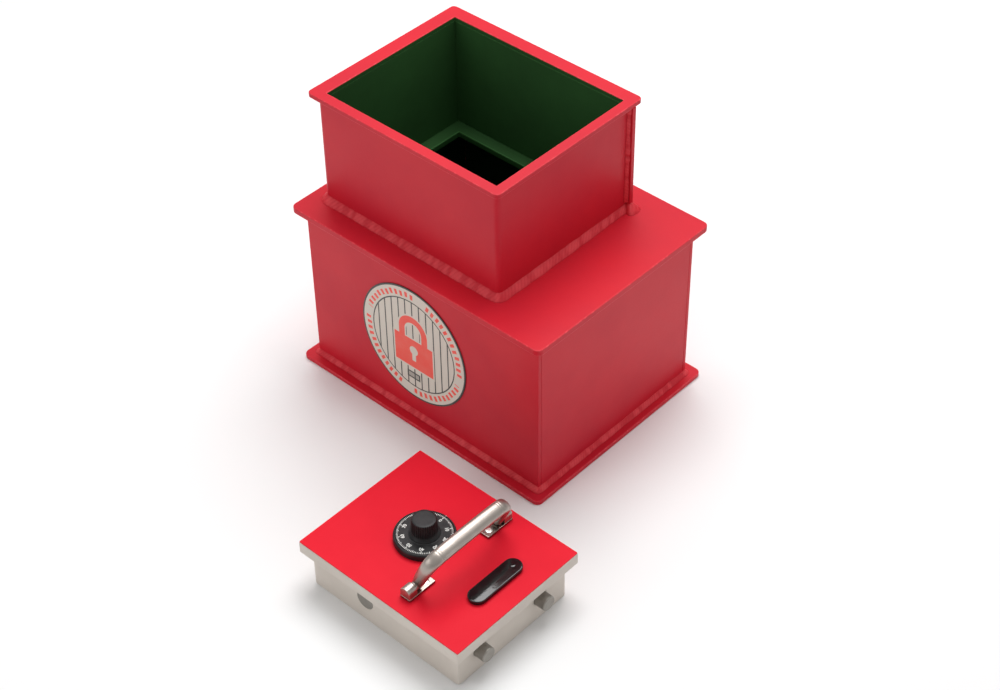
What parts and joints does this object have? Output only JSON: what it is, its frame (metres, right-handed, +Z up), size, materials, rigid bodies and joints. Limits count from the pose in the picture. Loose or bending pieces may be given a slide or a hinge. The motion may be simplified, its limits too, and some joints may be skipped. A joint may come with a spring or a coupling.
{
  "type": "underfloor safe",
  "caption": "Red welded steel underfloor safe with a necked body and a lift-out door that has a combination dial, folding pull handle and key lock.",
  "frame": {"origin": "centre of the base plate's underside", "axes": "+Z up; +X along the wall that carries the round label, which faces -Y; the neck is offset towards -X"},
  "size_m": [0.5195, 0.5655, 0.389],
  "materials": {
    "red_paint": "satin gloss paint",
    "red_facing": "satin paint",
    "red_weld": "painted weld bead",
    "label_print": "printed vinyl label",
    "grey_paint": "satin paint",
    "bolt_steel": "satin",
    "black_enamel": "gloss black",
    "nickel": "satin nickel",
    "zinc_steel": "zinc plated",
    "brass": "turned"
  },
  "bodies": {
    "safe_body": {"base_plate": "red_paint", "front_wall": "red_paint", "rear_wall": "red_paint", "left_wall": "red_paint", "right_wall": "red_paint", "top_plate": "red_paint", "neck_shell": "red_paint", "neck_rear_plate": "red_paint", "neck_rim": "red_paint", "base_weld": "red_weld", "neck_weld": "red_weld", "corner_weld_left": "red_weld", "corner_weld_right": "red_weld", "label_disc": "label_print"},
    "door": {"door_plate": "grey_paint", "door_facing": "red_facing", "door_casing": "grey_paint", "back_cover": "grey_paint", "cover_screw_1": "zinc_steel", "cover_screw_2": "zinc_steel", "cover_screw_3": "zinc_steel", "cover_screw_4": "zinc_steel", "fixed_bolt_1": "bolt_steel", "fixed_bolt_2": "bolt_steel", "handle_foot_front": "nickel", "handle_foot_rear": "nickel", "handle_pin_front": "zinc_steel", "handle_pin_rear": "zinc_steel", "foot_screw_front": "zinc_steel", "foot_screw_rear": "zinc_steel", "lock_case": "zinc_steel", "lock_cover": "zinc_steel", "wheel_post": "brass", "dial_ring": "black_enamel", "key_lock_case": "zinc_steel", "keyhole_plate": "black_enamel", "cover_rivet": "black_enamel", "guide_stud_1": "zinc_steel", "guide_stud_2": "zinc_steel", "guide_stud_3": "zinc_steel", "guide_stud_4": "zinc_steel"},
    "dial": {"combination_dial": "black_enamel", "dial_spindle": "zinc_steel", "drive_cam": "zinc_steel"},
    "combination_wheel_1": {"wheel_1": "brass"},
    "combination_wheel_2": {"wheel_2": "brass"},
    "combination_wheel_3": {"wheel_3": "brass"},
    "dial_lock_bolt": {"lock_bolt": "brass", "fence_lever": "zinc_steel", "lever_pivot": "zinc_steel"},
    "carriage": {"bolt_carriage": "zinc_steel", "left_bolt_1": "bolt_steel", "left_bolt_2": "bolt_steel"},
    "front_throw_bolt": {"front_bolt": "bolt_steel"},
    "rear_throw_bolt": {"rear_bolt": "bolt_steel"},
    "key_cylinder": {"key_plug": "brass", "key_pinion": "zinc_steel"},
    "swing_cover": {"keyhole_cover": "black_enamel"},
    "bow_handle": {"pull_handle": "nickel"}
  },
  "joints": [
    {"name": "door_lift", "type": "slide", "parent": "safe_body", "child": "door", "axis": [0, 0, 1], "range_m": [0, 0.45]},
    {"name": "dial_turn", "type": "hinge", "parent": "door", "child": "dial", "pos_m": [0.1775, -0.317, 0.0745], "axis": [0, 0, 1], "continuous": true},
    {"name": "wheel_1_turn", "type": "hinge", "parent": "door", "child": "combination_wheel_1", "pos_m": [0.1775, -0.317, 0.0358], "axis": [0, 0, 1], "continuous": true},
    {"name": "wheel_2_turn", "type": "hinge", "parent": "door", "child": "combination_wheel_2", "pos_m": [0.1775, -0.317, 0.0394], "axis": [0, 0, 1], "continuous": true},
    {"name": "wheel_3_turn", "type": "hinge", "parent": "door", "child": "combination_wheel_3", "pos_m": [0.1775, -0.317, 0.043], "axis": [0, 0, 1], "continuous": true},
    {"name": "lock_bolt_slide", "type": "slide", "parent": "door", "child": "dial_lock_bolt", "axis": [-1, 0, 0], "range_m": [0, 0.008]},
    {"name": "carriage_slide", "type": "slide", "parent": "door", "child": "carriage", "axis": [-1, 0, 0], "range_m": [0, 0.014]},
    {"name": "front_bolt_slide", "type": "slide", "parent": "door", "child": "front_throw_bolt", "axis": [0, -1, 0], "range_m": [0, 0.014]},
    {"name": "rear_bolt_slide", "type": "slide", "parent": "door", "child": "rear_throw_bolt", "axis": [0, 1, 0], "range_m": [0, 0.014]},
    {"name": "key_turn", "type": "hinge", "parent": "door", "child": "key_cylinder", "pos_m": [0.2796, -0.342, 0.05], "axis": [0, 0, 1], "range_deg": [0, 80.5]},
    {"name": "keyhole_cover_swing", "type": "hinge", "parent": "door", "child": "swing_cover", "pos_m": [0.2796, -0.2862, 0.07], "axis": [0, 0, 1], "range_deg": [-85, 0]},
    {"name": "handle_fold", "type": "hinge", "parent": "door", "child": "bow_handle", "pos_m": [0.2234, -0.3138, 0.0748], "axis": [0, 1, 0], "range_deg": [-30, 34]}
  ],
  "couplings": [
    {"joint": "front_bolt_slide", "follows": "carriage_slide", "ratio": 1},
    {"joint": "rear_bolt_slide", "follows": "carriage_slide", "ratio": 1},
    {"joint": "key_turn", "follows": "carriage_slide", "rad_per_m": 100}
  ]
}
